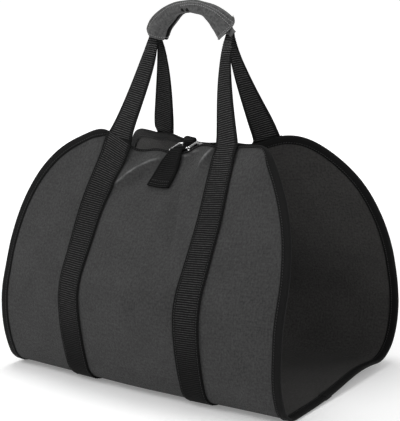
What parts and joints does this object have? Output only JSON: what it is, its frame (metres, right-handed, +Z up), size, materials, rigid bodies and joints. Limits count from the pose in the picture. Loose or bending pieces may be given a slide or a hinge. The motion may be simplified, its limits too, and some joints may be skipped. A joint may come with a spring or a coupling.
{
  "type": "log bag",
  "caption": "Open-ended canvas firewood carrier slung in a U, with taped edges, webbing straps that run up into a padded hand grip, and a ring closure between the top edges.",
  "frame": {"origin": "on the floor, under the middle of the bounding box", "axes": "+X along the load, from one open end to the other; +Y from the near wall to the far wall; +Z up"},
  "size_m": [0.4581, 0.3612, 0.5203],
  "materials": {
    "canvas": "dark grey woven canvas, matt",
    "tape": "black woven binding tape, matt",
    "webbing": "black ribbed webbing, slight sheen",
    "wrap": "mid grey padded canvas, matt",
    "metal": "bright plated wire"
  },
  "bodies": {
    "root": {"canvas_body": "canvas", "edge_binding": "tape", "front_webbing": "webbing", "back_webbing": "webbing", "grip_wrap": "wrap", "grip_tab": "wrap", "closure_tab_front": "webbing", "closure_tab_back": "webbing", "closure_ring_upper": "metal", "closure_ring_lower": "metal"}
  },
  "joints": []
}
